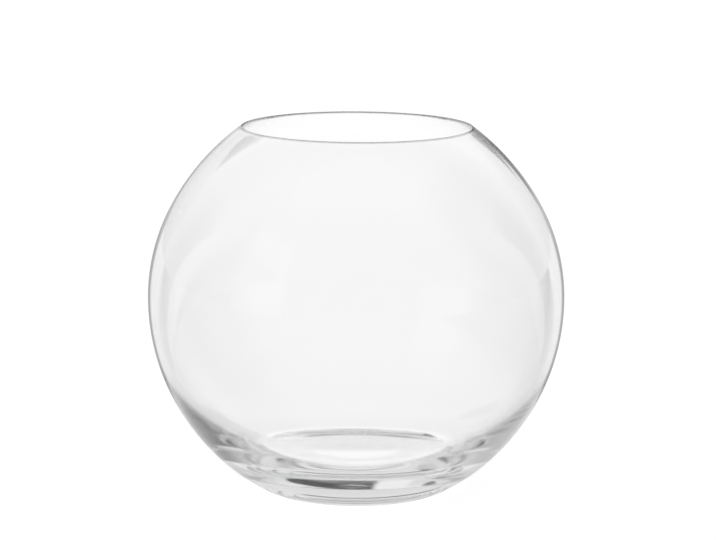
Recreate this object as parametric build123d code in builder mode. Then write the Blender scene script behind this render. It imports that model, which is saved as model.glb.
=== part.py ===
from build123d import *
import os
from math import asin, cos, degrees, radians, sin, sqrt

# Rose bowl vase: a round bowl of clear blown glass, drawn in to a wide open mouth.
# The whole bowl is one piece of glass. A thin wall runs from the rounded rim over the shoulder and the
# belly, then thickens through the heel into a heavy base that stands on a flat ring.
# Millimetres, +Z up, origin in the middle of the plane that the ring stands on.

# Outside of the bowl
body_diameter = 200.0
belly_height = 90.3
height = 173.0
mouth_diameter = 109.0
foot_diameter = 97.8
foot_edge_radius = 2.5

# Shoulder: how far up from the belly, in degrees of turn, its round gets flatter, and that flatter round
shoulder_start = 28.7
shoulder_radius = 118.0

# Thickness of the glass: the wall up to the belly, the rim that the shoulder thins to, and the floor
wall = 1.2
rim_thickness = 0.8
floor_thickness = 7.2

# Inside of the heavy base: a nearly flat dish, and the height where the wall starts to thicken towards it
floor_dish_radius = 1500.0
heel_height = 59.0

# Slight hollow ground under the base, which leaves the ring that the bowl stands on
hollow_diameter = 72.0
hollow_depth = 0.1

# Points of the half section, as radius and height
belly = (body_diameter / 2, belly_height)
foot = (foot_diameter / 2, 0)
ring_inside = (hollow_diameter / 2, 0)
hollow_top = (0, hollow_depth)
floor_middle = (0, hollow_depth + floor_thickness)
dish_centre = Vector(0, hollow_depth + floor_thickness + floor_dish_radius)

# Middle of the rim's round, and how far it lies inside and above the belly
half_rim = rim_thickness / 2
rim_middle = Vector(mouth_diameter / 2 + half_rim, height - half_rim)
drawn_in = body_diameter / 2 - rim_middle.X
rise = rim_middle.Y - belly_height

# Belly round: the one that is upright at the belly and runs into the flatter round, which ends at the rim
facing = Vector(cos(radians(shoulder_start)), sin(radians(shoulder_start)))
bend = 1 - facing.X
lean = rise * facing.Y - (shoulder_radius - drawn_in) * bend
spare = 2 * shoulder_radius * (drawn_in - half_rim) + half_rim**2 - drawn_in**2 - rise**2
belly_round = shoulder_radius - (sqrt(lean**2 + 2 * bend * spare) - lean) / (2 * bend)
belly_centre = Vector(body_diameter / 2 - belly_round, belly_height)
outer_centre = belly_centre - facing * (shoulder_radius - belly_round)

# Inside of the shoulder, which thins evenly from the wall to the rim
to_rim = rim_middle - belly_centre
inner_reach = belly_round - wall + half_rim
flatter_by = (inner_reach**2 - to_rim.length**2) / (2 * (to_rim.dot(facing) - inner_reach))
inner_centre = belly_centre - facing * flatter_by

# The bowl: one half section, turned about its axis
with BuildPart() as glass_bowl:
    with BuildSketch(Plane.XZ) as half_section:
        with BuildLine() as outline:
            # Base, from the axis out along the hollow and the standing ring to the foot
            TangentArc(hollow_top, ring_inside, tangent=(1, 0))
            Line(ring_inside, foot)

            # Outside of the lower body, upright where it reaches the belly
            lower_body = TangentArc(belly, foot, tangent=(0, -1))

            # Shoulder: each face leaves the belly upright, gets flatter and runs into the round of the rim
            outer_belly = CenterArc(belly_centre, belly_round, 0, shoulder_start)
            inner_belly = CenterArc(belly_centre, belly_round - wall, 0, shoulder_start)
            outer_rim = rim_middle + (rim_middle - outer_centre).normalized() * half_rim
            inner_rim = rim_middle - (rim_middle - inner_centre).normalized() * half_rim
            outer_shoulder = TangentArc(outer_belly @ 1, outer_rim, tangent=outer_belly % 1)
            TangentArc(inner_belly @ 1, inner_rim, tangent=inner_belly % 1)

            # Rim, melted to a full round
            TangentArc(outer_rim, inner_rim, tangent=outer_shoulder % 1)

            # Inside of the lower wall, an even thickness down to where the heel begins
            inner_radius = lower_body.radius - wall
            heel_turn = degrees(asin((belly_height - heel_height) / inner_radius))
            lower_wall = CenterArc(lower_body.arc_center, inner_radius, 0, -heel_turn)

            # Heel: the one round that leaves the wall there and runs into the dish of the floor
            heel_start = lower_wall @ 1
            outward = (heel_start - lower_body.arc_center).normalized()
            from_dish = heel_start - dish_centre
            slack = floor_dish_radius - from_dish.dot(outward)
            heel_radius = (floor_dish_radius**2 - from_dish.length**2) / (2 * slack)
            heel_centre = heel_start - outward * heel_radius
            floor_edge = dish_centre + (heel_centre - dish_centre).normalized() * floor_dish_radius
            heel = TangentArc(heel_start, floor_edge, tangent=lower_wall % 1)

            # Dished floor over the heavy base
            TangentArc(floor_edge, floor_middle, tangent=heel % 1)
            Line(hollow_top, floor_middle)
        make_face()
        fillet(half_section.vertices().sort_by_distance(foot)[0], radius=foot_edge_radius)
    revolve(axis=Axis.Z)

glass_bowl.part.label = "glass_bowl"

os.makedirs("parts", exist_ok=True)
export_step(glass_bowl.part, "parts/glass_bowl.step")
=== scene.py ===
"""Rose bowl vase: a round bowl of clear blown glass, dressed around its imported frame.

The bowl is turned from one half section, as the real one is worked on the pipe: a thin wall from the
melted rim over the belly, a heel that thickens into a heavy base, and a flat standing ring.
"""

import logging
import math
from dataclasses import dataclass, field
from enum import Enum

import bpy
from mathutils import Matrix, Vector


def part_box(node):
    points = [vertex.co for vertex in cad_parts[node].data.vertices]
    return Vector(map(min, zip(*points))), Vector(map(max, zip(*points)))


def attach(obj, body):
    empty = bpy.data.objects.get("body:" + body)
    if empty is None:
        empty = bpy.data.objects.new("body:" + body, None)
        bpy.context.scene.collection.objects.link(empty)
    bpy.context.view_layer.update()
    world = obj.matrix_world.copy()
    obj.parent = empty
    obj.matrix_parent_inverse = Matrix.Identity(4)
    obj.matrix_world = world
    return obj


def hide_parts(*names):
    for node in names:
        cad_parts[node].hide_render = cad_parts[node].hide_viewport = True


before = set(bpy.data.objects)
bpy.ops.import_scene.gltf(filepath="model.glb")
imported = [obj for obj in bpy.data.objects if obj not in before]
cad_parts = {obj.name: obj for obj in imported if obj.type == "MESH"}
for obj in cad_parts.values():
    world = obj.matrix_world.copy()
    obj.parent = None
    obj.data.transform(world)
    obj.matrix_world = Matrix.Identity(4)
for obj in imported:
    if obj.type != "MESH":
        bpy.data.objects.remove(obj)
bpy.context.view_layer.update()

LOG = logging.getLogger("rose_bowl")
PHOTO_WIDTH = 716
MOST_BOUNCES = 160
MOST_GLASS_BOUNCES = 128

Point = tuple[float, float]
Value = float | bpy.types.NodeSocket


class Turn(Enum):
    """Which way an arc of the half section is drawn, seen with the axis on the left."""

    LEFT = 1.0
    RIGHT = -1.0


class Pen:
    """Draws the half section as one chain of edges in the XZ plane, in edit mode."""

    def __init__(self, start: Point, edge_length: float) -> None:
        """Puts a single vertex at the start.

        Args:
            start: Radius and height of the first point, in metres.
            edge_length: Longest edge to draw, in metres.
        """
        self.at = start
        self.edge_length = edge_length
        bpy.ops.object.select_all(action="DESELECT")
        bpy.ops.mesh.primitive_plane_add(size=edge_length, location=(0, 0, 0))
        bpy.ops.object.mode_set(mode="EDIT")
        bpy.ops.mesh.select_mode(type="VERT")
        bpy.ops.mesh.merge(type="CENTER")
        bpy.ops.transform.translate(value=(start[0], 0, start[1]))

    def line_to(self, end: Point) -> None:
        """Draws a straight stretch.

        Args:
            end: Radius and height of its last point.
        """
        steps = max(1, math.ceil(math.dist(self.at, end) / self.edge_length))
        stride = ((end[0] - self.at[0]) / steps, 0, (end[1] - self.at[1]) / steps)
        for _ in range(steps):
            bpy.ops.mesh.extrude_vertices_move(TRANSFORM_OT_translate={"value": stride})
        self.at = end

    def arc_to(self, centre: Point, end: Point, turn: Turn, least_steps: int = 3) -> None:
        """Draws a round stretch.

        Args:
            centre: Radius and height of the arc's centre.
            end: Radius and height of its last point.
            turn: Which way it turns.
            least_steps: Fewest edges to draw it with.
        """
        first = math.atan2(self.at[1] - centre[1], self.at[0] - centre[0])
        last = math.atan2(end[1] - centre[1], end[0] - centre[0])
        angle = (turn.value * (last - first)) % math.tau
        steps = max(least_steps, math.ceil(math.dist(centre, end) * angle / self.edge_length))
        bpy.ops.mesh.spin(steps=steps, angle=angle, center=(centre[0], 0, centre[1]),
                          axis=(0, turn.value, 0), use_auto_merge=False)
        self.at = end


def toward(centre: Point, other: Point, reach: float) -> Point:
    """The point at a reach from a centre, in the direction of another point.

    Args:
        centre: Where the reach is measured from.
        other: Point that gives the direction.
        reach: Distance from the centre.

    Returns:
        The point.
    """
    share = reach / math.dist(centre, other)
    return (centre[0] + (other[0] - centre[0]) * share, centre[1] + (other[1] - centre[1]) * share)


def at_angle(centre: Point, angle: float, reach: float) -> Point:
    """The point at a reach from a centre, at an angle up from the radius.

    Args:
        centre: Where the reach is measured from.
        angle: The angle, in radians.
        reach: Distance from the centre.

    Returns:
        The point.
    """
    return (centre[0] + reach * math.cos(angle), centre[1] + reach * math.sin(angle))


@dataclass
class HalfSection:
    """Half section of the bowl, as radius and height in metres.

    Attributes:
        belly_radius: Outer radius at the belly, the widest ring.
        height: Standing ring to the top of the rim.
        belly_height: Height of the belly.
        mouth_radius: Clear radius inside the rim.
        shoulder_start: Turn up from the belly, in radians, where its round gets flatter.
        shoulder_round: Radius of that flatter round, which ends at the rim.
        foot_radius: Radius where the lower body would meet the plane that it stands on.
        foot_edge: Radius of the rounded edge there.
        wall: Thickness of the wall up to the belly.
        rim_thickness: Thickness of the rim, which the shoulder thins to.
        floor_thickness: Glass under the middle of the inside.
        floor_dish: Radius of curvature of the slightly dished floor.
        heel_height: Height where the wall starts to thicken towards the floor.
        hollow_radius: Radius of the shallow hollow under the base.
        hollow_depth: Depth of that hollow.
        edge_length: Longest edge that the section is drawn with.
        rim_steps: Edges round the melted rim.
    """

    belly_radius: float
    height: float
    belly_height: float = 0.0903
    mouth_radius: float = 0.0545
    shoulder_start: float = math.radians(28.7)
    shoulder_round: float = 0.118
    foot_radius: float = 0.0489
    foot_edge: float = 0.0025
    wall: float = 0.0012
    rim_thickness: float = 0.0008
    floor_thickness: float = 0.0072
    floor_dish: float = 1.500
    heel_height: float = 0.059
    hollow_radius: float = 0.036
    hollow_depth: float = 0.0001
    edge_length: float = 0.0022
    rim_steps: int = 10

    def draw(self) -> None:
        """Draws the section, from the middle of the underside round to the middle of the floor."""
        hollow_curve = (self.hollow_radius ** 2 + self.hollow_depth ** 2) / (2 * self.hollow_depth)
        hollow_centre = (0.0, self.hollow_depth - hollow_curve)

        drawn_in = self.belly_radius - self.foot_radius
        body_curve = (drawn_in ** 2 + self.belly_height ** 2) / (2 * drawn_in)
        body_centre = (self.belly_radius - body_curve, self.belly_height)
        edge_drop = self.belly_height - self.foot_edge
        edge_reach = math.sqrt((body_curve - self.foot_edge) ** 2 - edge_drop ** 2)
        edge_centre = (body_centre[0] + edge_reach, self.foot_edge)

        half_rim = self.rim_thickness / 2
        rim_centre = (self.mouth_radius + half_rim, self.height - half_rim)
        belly_round = self.belly_round(rim_centre)
        belly_centre = (self.belly_radius - belly_round, self.belly_height)
        outer_start = at_angle(belly_centre, self.shoulder_start, belly_round)
        inner_start = at_angle(belly_centre, self.shoulder_start, belly_round - self.wall)
        outer_centre = toward(outer_start, belly_centre, self.shoulder_round)
        inner_centre = self.inner_shoulder_centre(belly_centre, rim_centre)

        inner_curve = body_curve - self.wall
        heel_drop = self.belly_height - self.heel_height
        heel_reach = math.sqrt(inner_curve ** 2 - heel_drop ** 2)
        heel_start = (body_centre[0] + heel_reach, self.heel_height)
        floor_middle = (0.0, self.hollow_depth + self.floor_thickness)
        floor_centre = (0.0, floor_middle[1] + self.floor_dish)
        heel_centre = self.heel_centre(heel_start, body_centre, floor_centre)

        pen = Pen((0.0, self.hollow_depth), self.edge_length)
        pen.arc_to(hollow_centre, (self.hollow_radius, 0.0), Turn.RIGHT)
        pen.line_to((edge_centre[0], 0.0))
        pen.arc_to(edge_centre, toward(body_centre, edge_centre, body_curve), Turn.LEFT)
        pen.arc_to(body_centre, (self.belly_radius, self.belly_height), Turn.LEFT)
        pen.arc_to(belly_centre, outer_start, Turn.LEFT)
        pen.arc_to(outer_centre, toward(rim_centre, outer_centre, -half_rim), Turn.LEFT)
        pen.arc_to(rim_centre, toward(rim_centre, inner_centre, half_rim), Turn.LEFT,
                   self.rim_steps)
        pen.arc_to(inner_centre, inner_start, Turn.RIGHT)
        pen.arc_to(belly_centre, (self.belly_radius - self.wall, self.belly_height), Turn.RIGHT)
        pen.arc_to(body_centre, heel_start, Turn.RIGHT)
        pen.arc_to(heel_centre, toward(floor_centre, heel_centre, self.floor_dish), Turn.RIGHT)
        pen.arc_to(floor_centre, floor_middle, Turn.RIGHT)

    def belly_round(self, rim_centre: Point) -> float:
        """The radius of the round that is upright at the belly and runs into the flatter shoulder.

        Args:
            rim_centre: Centre of the rim's round, where the shoulder ends.

        Returns:
            The radius.
        """
        half_rim = self.rim_thickness / 2
        drawn_in = self.belly_radius - rim_centre[0]
        rise = rim_centre[1] - self.belly_height
        bend = 1 - math.cos(self.shoulder_start)
        lean = rise * math.sin(self.shoulder_start) - (self.shoulder_round - drawn_in) * bend
        spare = 2 * self.shoulder_round * (drawn_in - half_rim)
        spare += half_rim ** 2 - drawn_in ** 2 - rise ** 2
        return self.shoulder_round - (math.sqrt(lean ** 2 + 2 * bend * spare) - lean) / (2 * bend)

    def inner_shoulder_centre(self, belly_centre: Point, rim_centre: Point) -> Point:
        """The centre of the shoulder's inside, which thins from the wall to the rim.

        Args:
            belly_centre: Centre of the round at the belly.
            rim_centre: Centre of the rim's round.

        Returns:
            The centre.
        """
        reach = self.belly_radius - belly_centre[0] - self.wall + self.rim_thickness / 2
        inward, upward = rim_centre[0] - belly_centre[0], rim_centre[1] - belly_centre[1]
        along = inward * math.cos(self.shoulder_start) + upward * math.sin(self.shoulder_start)
        flatter_by = (reach ** 2 - math.dist(belly_centre, rim_centre) ** 2) / (2 * (along - reach))
        return at_angle(belly_centre, self.shoulder_start, -flatter_by)

    def heel_centre(self, heel_start: Point, body_centre: Point, floor_centre: Point) -> Point:
        """The centre of the round that leaves the wall at the heel and runs into the dished floor.

        Args:
            heel_start: Where it leaves the wall.
            body_centre: Centre of the wall's arc.
            floor_centre: Centre of the floor's arc.

        Returns:
            The centre.
        """
        reach = math.dist(heel_start, body_centre)
        outward = ((heel_start[0] - body_centre[0]) / reach,
                   (heel_start[1] - body_centre[1]) / reach)
        from_floor = (heel_start[0] - floor_centre[0], heel_start[1] - floor_centre[1])
        slack = self.floor_dish - from_floor[0] * outward[0] - from_floor[1] * outward[1]
        heel_round = (self.floor_dish ** 2 - math.dist(heel_start, floor_centre) ** 2) / (2 * slack)
        return toward(heel_start, body_centre, heel_round)


class Graph:
    """Adds nodes to a node tree and links them."""

    def __init__(self, tree: bpy.types.NodeTree) -> None:
        """Keeps the tree.

        Args:
            tree: Node tree of a material or a world.
        """
        self.nodes = tree.nodes
        self.links = tree.links

    def plug(self, value: Value, socket: bpy.types.NodeSocket) -> None:
        """Links a socket, or sets it to a number.

        Args:
            value: Output socket or number to put in.
            socket: Input socket that takes it.
        """
        if isinstance(value, bpy.types.NodeSocket):
            self.links.new(value, socket)
        else:
            socket.default_value = value

    def math(self, operation: str, first: Value, second: Value = 0.0) -> bpy.types.NodeSocket:
        """Adds a Math node.

        Args:
            operation: Blender's name of the operation.
            first: First operand.
            second: Second operand.

        Returns:
            Its result.
        """
        node = self.nodes.new("ShaderNodeMath")
        node.operation = operation
        self.plug(first, node.inputs[0])
        self.plug(second, node.inputs[1])
        return node.outputs[0]

    def rise(self, value: Value, low: float, high: float) -> bpy.types.NodeSocket:
        """Adds a smooth step from 0 to 1.

        Args:
            value: What steps up.
            low: Value where the step starts.
            high: Value where it ends.

        Returns:
            The step.
        """
        node = self.nodes.new("ShaderNodeMapRange")
        node.interpolation_type = "SMOOTHSTEP"
        self.plug(value, node.inputs["Value"])
        node.inputs["From Min"].default_value = low
        node.inputs["From Max"].default_value = high
        return node.outputs["Result"]

    def mix(self, share: Value, first: Value, second: Value) -> bpy.types.NodeSocket:
        """Adds a Mix node for numbers.

        Args:
            share: Share of the second, from 0 to 1.
            first: Result where the share is 0.
            second: Result where the share is 1.

        Returns:
            The mixture.
        """
        node = self.nodes.new("ShaderNodeMix")
        self.plug(share, node.inputs["Factor"])
        self.plug(first, node.inputs["A"])
        self.plug(second, node.inputs["B"])
        return node.outputs["Result"]

    def noise(self, place: Value, grain: tuple[float, float, float],
              detail: float) -> bpy.types.NodeSocket:
        """Adds a Noise node.

        Args:
            place: Coordinates.
            grain: Spots per metre along each axis.
            detail: Octaves of finer spots.

        Returns:
            The noise, around 0.5.
        """
        stretch = self.nodes.new("ShaderNodeMapping")
        stretch.inputs["Scale"].default_value = grain
        self.plug(place, stretch.inputs["Vector"])
        node = self.nodes.new("ShaderNodeTexNoise")
        node.inputs["Scale"].default_value = 1.0
        node.inputs["Detail"].default_value = detail
        self.links.new(stretch.outputs["Vector"], node.inputs["Vector"])
        return node.outputs["Fac"]


@dataclass(frozen=True)
class ClearGlass:
    """Colourless blown glass.

    Attributes:
        ior: Index of refraction.
        tint: Colour that a long way through the glass takes on.
        tint_density: How fast it does, per metre.
        clearness: Share of the light that the two faces of a wall let through, where they don't
            reflect it.
        painted_lip_shade: Painted shade: brightness painted into the glass colour at the melted
        lip, darker, to stand in for the dark rim line where the glass is seen end on.
        lip_depth: How far down from the top of the rim that reaches.
        smudge: Roughness of the faintest and the strongest wipe mark.
        smudge_grain: Wipe marks per metre along each axis.
        smudge_detail: Octaves of finer marks.
        smudge_edge: Noise where a mark starts, and is at its strongest.
        haze: Roughness of the polished foot, and of the heel, which fine tool marks leave wavy.
        haze_foot: Heights where the foot's roughness starts to change, and is the heel's, in
            metres.
        haze_top: Heights where the heel's roughness starts to fade and is gone, in metres.
        ripple: Height of the ripples that the tools leave near the base, in metres.
        ripple_grain: Ripples per metre across and upward.
        ripple_detail: Octaves of finer ripples.
        calm: Heights where the ripples start to fade and are gone, in metres.
        calm_share: Part of the ripples that is left above that.
    """

    ior: float = 1.5
    tint: tuple[float, float, float] = (0.90, 0.91, 0.91)
    tint_density: float = 2.0
    clearness: float = 0.972
    painted_lip_shade: float = 0.42
    lip_depth: float = 0.0009
    smudge: tuple[float, float] = (0.0, 0.012)
    smudge_grain: tuple[float, float, float] = (14.0, 14.0, 9.0)
    smudge_detail: float = 3.0
    smudge_edge: tuple[float, float] = (0.5, 0.8)
    haze: tuple[float, float] = (0.012, 0.055)
    haze_foot: tuple[float, float] = (0.010, 0.024)
    haze_top: tuple[float, float] = (0.045, 0.070)
    ripple: float = 0.000012
    ripple_grain: tuple[float, float] = (60.0, 260.0)
    ripple_detail: float = 2.0
    calm: tuple[float, float] = (0.010, 0.022)
    calm_share: float = 0.05

    def material(self, height: float) -> bpy.types.Material:
        """Builds the material.

        Args:
            height: Top of the rim.

        Returns:
            The glass material.
        """
        material = bpy.data.materials.new("clear_glass")
        material.use_nodes = True
        graph = Graph(material.node_tree)
        place = graph.nodes.new("ShaderNodeTexCoord").outputs["Object"]
        axes = graph.nodes.new("ShaderNodeSeparateXYZ")
        graph.links.new(place, axes.inputs[0])
        upward = axes.outputs["Z"]

        shader = graph.nodes["Principled BSDF"]
        shader.inputs["Transmission Weight"].default_value = 1.0
        shader.inputs["IOR"].default_value = self.ior
        # Painted shade: the glass colour is darkened at the melted lip to stand in for the dark rim
        # line.
        lip = graph.rise(upward, height - self.lip_depth, height - self.lip_depth / 2)
        shade = graph.nodes.new("ShaderNodeCombineColor")
        for channel in shade.inputs:
            graph.plug(graph.mix(lip, self.clearness, self.painted_lip_shade), channel)
        graph.links.new(shade.outputs["Color"], shader.inputs["Base Color"])

        marks = graph.noise(place, self.smudge_grain, self.smudge_detail)
        wiped = graph.mix(graph.rise(marks, *self.smudge_edge), *self.smudge)
        hazy = graph.mix(graph.rise(upward, *self.haze_foot), *self.haze)
        clear = graph.rise(upward, *self.haze_top)
        graph.plug(graph.mix(clear, hazy, wiped), shader.inputs["Roughness"])

        across, up = self.ripple_grain
        waves = graph.noise(place, (across, across, up), self.ripple_detail)
        calm = graph.mix(graph.rise(upward, *self.calm), 1.0, self.calm_share)
        bump = graph.nodes.new("ShaderNodeBump")
        bump.inputs["Distance"].default_value = self.ripple
        graph.plug(graph.math("MULTIPLY", waves, calm), bump.inputs["Height"])
        graph.links.new(bump.outputs["Normal"], shader.inputs["Normal"])

        depth = graph.nodes.new("ShaderNodeVolumeAbsorption")
        depth.inputs["Color"].default_value = (*self.tint, 1)
        depth.inputs["Density"].default_value = self.tint_density
        graph.links.new(depth.outputs["Volume"], graph.nodes["Material Output"].inputs["Volume"])
        return material


@dataclass
class GlassBowl:
    """The bowl, one piece of glass turned from its half section.

    Attributes:
        section: The half section.
        finish: The glass.
        segments: Steps round the axis.
        weld: Distance within which the turned section's points are merged.
    """

    section: HalfSection
    finish: ClearGlass = field(default_factory=ClearGlass)
    segments: int = 256
    weld: float = 1e-6

    def build(self) -> bpy.types.Object:
        """Models the bowl.

        Returns:
            The finished piece.
        """
        self.section.draw()
        bpy.ops.mesh.select_all(action="SELECT")
        bpy.ops.mesh.spin(steps=self.segments, angle=math.tau, center=(0, 0, 0), axis=(0, 0, 1))
        bpy.ops.mesh.select_all(action="SELECT")
        bpy.ops.mesh.remove_doubles(threshold=self.weld)
        bpy.ops.mesh.normals_make_consistent(inside=False)
        bpy.ops.object.mode_set(mode="OBJECT")
        bowl = bpy.context.object
        bowl.name = "blown_bowl"
        bpy.ops.object.shade_smooth()
        bowl.data.materials.append(self.finish.material(self.section.height))
        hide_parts("glass_bowl")
        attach(bowl, "root")
        LOG.info("%s: %d faces", bowl.name, len(bowl.data.polygons))
        return bowl


@dataclass(frozen=True)
class Panel:
    """A soft-edged panel of the studio, as the bowl sees it.

    Attributes:
        name: What it is.
        azimuth: Its edges, in degrees from the back of the studio to the right.
        elevation: Its lower and upper edge, in degrees.
        level: Its brightness, where 1 is white.
        blur: Width of its edges, in degrees.
    """

    name: str
    azimuth: tuple[float, float]
    elevation: tuple[float, float]
    level: float
    blur: float = 4.0


@dataclass
class Studio:
    """Pale floor, plain soft light and a white background.

    What the eye meets directly or straight through the glass is the white background. Light that
    the glass mirrors comes from the floor and the room, which are light behind the bowl and darker
    in front of it and to its sides, with a few soft panels. The floor's darker parts are painted
    shade in its glow, which only the glass sees. That gives the glass its grey edges.

    Attributes:
        floor_radius: Radius of the round floor.
        floor_sides: Straight sides that its edge is drawn with.
        floor_roughness: Roughness of its surface.
        floor_drop: Gap between the floor and the standing ring.
        floor_colour: Brightness of the floor under the room's own light.
        floor_glow: Part of its white that isn't the room's light, so that its shadow stays faint.
        painted_caustic_glow: Painted light: the same for the floor under the bowl, brighter, to
            stand
        in for the light that the glass gathers there.
        under_bowl: Radius that this reaches to, and where it has faded.
        front_share: Part of the glow that the glass mirrors from the floor in front of it.
        back_share: Part of the glow that the glass mirrors from the floor behind it.
        front_edge: How far back the floor starts to get lighter, and is done.
        shade_start: Where a painted shade on the floor behind the bowl starts, and is at its
            darkest.
        shade_end: Where it starts to get lighter again, and is done.
        shade_side: How far to either side it reaches close to the bowl.
        shade_inside: Slope of the line, per metre of distance, where its light middle starts to get
            darker, and of the line where it is at its darkest.
        shade_spread: The same for its outer edge, where it starts to fade, and has faded.
        shade_share: Part of the glow that the glass mirrors from it close by, and far away.
        side_start: Where the painted shade on the floor on either side starts, and is at its
            darkest.
        side_share: Part of the glow that the glass mirrors from it on the left, and on the right.
        side_blend: How far from the middle the one has changed to the other.
        horizon: Brightness of the room at the height of the floor.
        zenith: Brightness of the room overhead.
        panels: Panels in the room, each over the ones before it.
    """

    floor_radius: float = 6.0
    floor_sides: int = 96
    floor_roughness: float = 0.9
    floor_drop: float = 0.0002
    floor_colour: float = 0.16
    floor_glow: float = 0.95
    painted_caustic_glow: float = 1.14
    under_bowl: tuple[float, float] = (0.048, 0.056)
    front_share: float = 0.52
    back_share: float = 0.94
    front_edge: tuple[float, float] = (-0.12, 0.12)
    shade_start: tuple[float, float] = (0.07, 0.13)
    shade_end: tuple[float, float] = (0.8, 1.6)
    shade_side: float = 0.10
    shade_inside: tuple[float, float] = (-0.45, 0.20)
    shade_spread: tuple[float, float] = (0.38, 0.50)
    shade_share: tuple[float, float] = (0.36, 0.46)
    side_start: tuple[float, float] = (0.02, 0.26)
    side_share: tuple[float, float] = (0.50, 0.14)
    side_blend: float = 0.05
    horizon: float = 0.82
    zenith: float = 0.50
    panels: tuple[Panel, ...] = (
        Panel("front wall, right", (110, 180), (-90, 50), 0.55, 40.0),
        Panel("front wall, left", (-180, -110), (-90, 50), 0.55, 40.0),
        Panel("left wall", (-112, -58), (-90, 54), 0.46, 28.0),
        Panel("right wall", (58, 112), (-90, 54), 0.10, 28.0),
        Panel("front window", (-140, -109), (0, 40), 0.78, 8.0),
        Panel("back light", (-21, -8), (6, 74), 0.97, 4.0),
        Panel("back top", (-44, 44), (22, 84), 0.95, 8.0),
        Panel("low gap", (-8, 20), (-2, 9), 0.24, 3.0),
        Panel("dark gap", (-7, 26), (8, 19), 0.0, 3.0),
        Panel("dark card", (-40, -29), (22, 38), 0.05, 4.0),
    )

    def build(self) -> None:
        """Makes the floor and the world."""
        self.floor()
        self.world()

    def background_share(self, graph: Graph, mirrored: Value = 0.0) -> bpy.types.NodeSocket:
        """Works out how much of the white background a ray sees.

        Args:
            graph: Where the nodes go.
            mirrored: What rays that the glass has mirrored see of it, from 0 to 1.

        Returns:
            1 for the eye's own rays and for rays that went straight through, and 0 for the floor's
            own light.
        """
        path = graph.nodes.new("ShaderNodeLightPath").outputs
        turned = graph.math("SUBTRACT", path["Ray Depth"], path["Transmission Depth"])
        straight = graph.math("LESS_THAN", turned, 0.5)
        unlit = graph.math("LESS_THAN", path["Diffuse Depth"], 0.5)
        glass = graph.math("MAXIMUM", path["Is Glossy Ray"], path["Is Transmission Ray"])
        seen = graph.math("MULTIPLY", graph.math("MAXIMUM", straight, mirrored), unlit)
        return graph.math("MAXIMUM", path["Is Camera Ray"], graph.math("MULTIPLY", glass, seen))

    def floor(self) -> None:
        """Lays the floor."""
        bpy.ops.object.select_all(action="DESELECT")
        bpy.ops.mesh.primitive_circle_add(vertices=self.floor_sides, radius=self.floor_radius,
                                          fill_type="NGON", location=(0, 0, -self.floor_drop))
        floor = bpy.context.object
        floor.name = "floor"
        material = bpy.data.materials.new("pale_floor")
        material.use_nodes = True
        graph = Graph(material.node_tree)
        place = graph.nodes.new("ShaderNodeTexCoord").outputs["Object"]
        reach = graph.nodes.new("ShaderNodeVectorMath")
        reach.operation = "LENGTH"
        graph.links.new(place, reach.inputs[0])
        share = self.background_share(graph, self.mirrored_share(graph, place))
        shader = graph.nodes["Principled BSDF"]
        shader.inputs["Base Color"].default_value = (*[self.floor_colour] * 3, 1)
        shader.inputs["Roughness"].default_value = self.floor_roughness
        shader.inputs["Specular IOR Level"].default_value = 0.0
        shader.inputs["Emission Color"].default_value = (1, 1, 1, 1)
        # Painted light: the floor under the bowl glows brighter, standing in for the light that the
        # glass gathers there.
        outside = graph.rise(reach.outputs["Value"], *self.under_bowl)
        glow = graph.mix(outside, self.painted_caustic_glow, self.floor_glow)
        graph.plug(graph.math("MULTIPLY", share, glow), shader.inputs["Emission Strength"])
        floor.data.materials.append(material)

    def mirrored_share(self, graph: Graph, place: Value) -> bpy.types.NodeSocket:
        """Works out how much of the floor's glow the glass mirrors, with painted shade in front of
        the bowl, to its sides and in a strip behind it.

        Args:
            graph: Where the nodes go.
            place: Coordinates on the floor.

        Returns:
            The share, from 0 to 1.
        """
        axes = graph.nodes.new("ShaderNodeSeparateXYZ")
        graph.links.new(place, axes.inputs[0])
        right, behind = axes.outputs["X"], axes.outputs["Y"]
        wide, deep = graph.math("ABSOLUTE", right), graph.math("ABSOLUTE", behind)
        # Painted shade: the floor in front of the bowl glows less for the glass than the floor
        # behind it.
        rear = graph.rise(behind, *self.front_edge)
        share = graph.mix(rear, self.front_share, self.back_share)

        # Painted shade: a darker strip of floor behind the bowl, which only the glass sees.
        slant = graph.math("DIVIDE", graph.math("SUBTRACT", wide, self.shade_side), behind)
        spread = graph.rise(slant, *self.shade_spread[::-1])
        spread = graph.math("MULTIPLY", spread, graph.rise(slant, *self.shade_inside))
        shade = graph.math("MULTIPLY", graph.rise(behind, *self.shade_start), spread)
        shade_level = graph.mix(graph.rise(behind, *self.shade_end), *self.shade_share)
        share = graph.mix(shade, share, shade_level)

        # Painted shade: darker floor to either side, which only the glass sees.
        beside = graph.rise(graph.math("SUBTRACT", wide, deep), *self.side_start)
        rightward = graph.rise(right, -self.side_blend, self.side_blend)
        return graph.mix(beside, share, graph.mix(rightward, *self.side_share))

    def world(self) -> None:
        """Puts the soft panels in the grey room."""
        world = bpy.data.worlds.new("studio")
        world.use_nodes = True
        bpy.context.scene.world = world
        graph = Graph(world.node_tree)
        place = graph.nodes.new("ShaderNodeTexCoord")
        axes = graph.nodes.new("ShaderNodeSeparateXYZ")
        graph.links.new(place.outputs["Generated"], axes.inputs[0])
        turn = graph.math("ARCTAN2", axes.outputs["X"], axes.outputs["Y"])
        azimuth = graph.math("DEGREES", turn)
        elevation = graph.math("DEGREES", graph.math("ARCSINE", axes.outputs["Z"]))
        level = graph.mix(graph.rise(elevation, 0.0, 90.0), self.horizon, self.zenith)
        for panel in self.panels:
            level = graph.mix(self.mask(graph, panel, azimuth, elevation), level, panel.level)
        shade = graph.nodes["Background"]
        graph.plug(graph.mix(self.background_share(graph), level, 1.0), shade.inputs["Strength"])
        shade.inputs["Color"].default_value = (1, 1, 1, 1)

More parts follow.
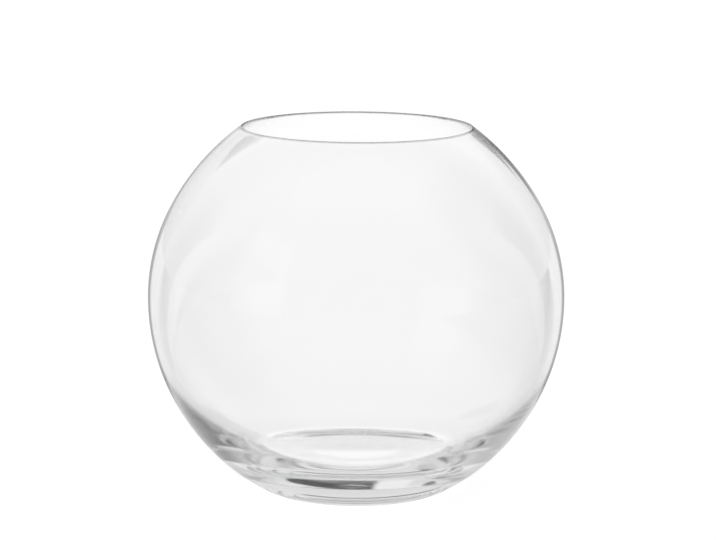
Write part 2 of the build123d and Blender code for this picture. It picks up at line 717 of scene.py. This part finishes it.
    @staticmethod
    def mask(graph: Graph, panel: Panel, azimuth: Value, elevation: Value) -> Value:
        """Works out where a panel is.

        Args:
            graph: Where the nodes go.
            panel: The panel.
            azimuth: Direction round the bowl, in degrees.
            elevation: Direction above the floor, in degrees.

        Returns:
            1 on the panel, 0 outside it.
        """
        mask: Value = 1.0
        half = panel.blur / 2
        for value, (low, high), ends in ((azimuth, panel.azimuth, 180),
                                         (elevation, panel.elevation, 90)):
            if low > -ends:
                mask = graph.math("MULTIPLY", mask, graph.rise(value, low - half, low + half))
            if high < ends:
                mask = graph.math("MULTIPLY", mask, graph.rise(value, high + half, high - half))
        return mask


@dataclass
class PhotoCamera:
    """The photograph's viewpoint.

    Attributes:
        distance: From the bowl's axis, along the floor.
        height: Above the floor.
        aside: To the right of the axis.
        pitch: Downward tilt, in degrees.
        roll: Turn about the line of sight, in degrees.
        focal_pixels: Focal length in pixels of the photograph.
        sensor_width: Width of the sensor, in millimetres.
    """

    distance: float = 1.050
    height: float = 0.3136
    aside: float = 0.0008
    pitch: float = 11.33
    roll: float = 0.38
    focal_pixels: float = 2226.0
    sensor_width: float = 36.0

    def build(self) -> bpy.types.Object:
        """Places the camera and makes it the scene's own.

        Returns:
            The camera object.
        """
        data = bpy.data.cameras.new("photo_camera")
        data.sensor_width = self.sensor_width
        data.lens = self.focal_pixels * self.sensor_width / PHOTO_WIDTH
        camera = bpy.data.objects.new("photo_camera", data)
        camera.location = (self.aside, -self.distance, self.height)
        camera.rotation_mode = "ZYX"
        camera.rotation_euler = (math.radians(90 - self.pitch), 0, math.radians(self.roll))
        bpy.context.scene.collection.objects.link(camera)
        bpy.context.scene.camera = camera
        return camera


def set_light_paths() -> None:
    """Lets light bounce in the heavy base until it leaves it."""
    paths = bpy.context.scene.cycles
    paths.max_bounces = MOST_BOUNCES
    paths.glossy_bounces = MOST_GLASS_BOUNCES
    paths.transmission_bounces = MOST_GLASS_BOUNCES


def main() -> None:
    """Builds the bowl, the studio round it and the camera."""
    logging.basicConfig(level=logging.INFO, format="%(name)s: %(message)s")
    bpy.context.scene.view_settings.view_transform = "Standard"
    set_light_paths()
    _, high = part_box("glass_bowl")
    GlassBowl(HalfSection(belly_radius=high.x, height=high.z)).build()
    Studio().build()
    PhotoCamera().build()


if __name__ == "__main__":
    main()
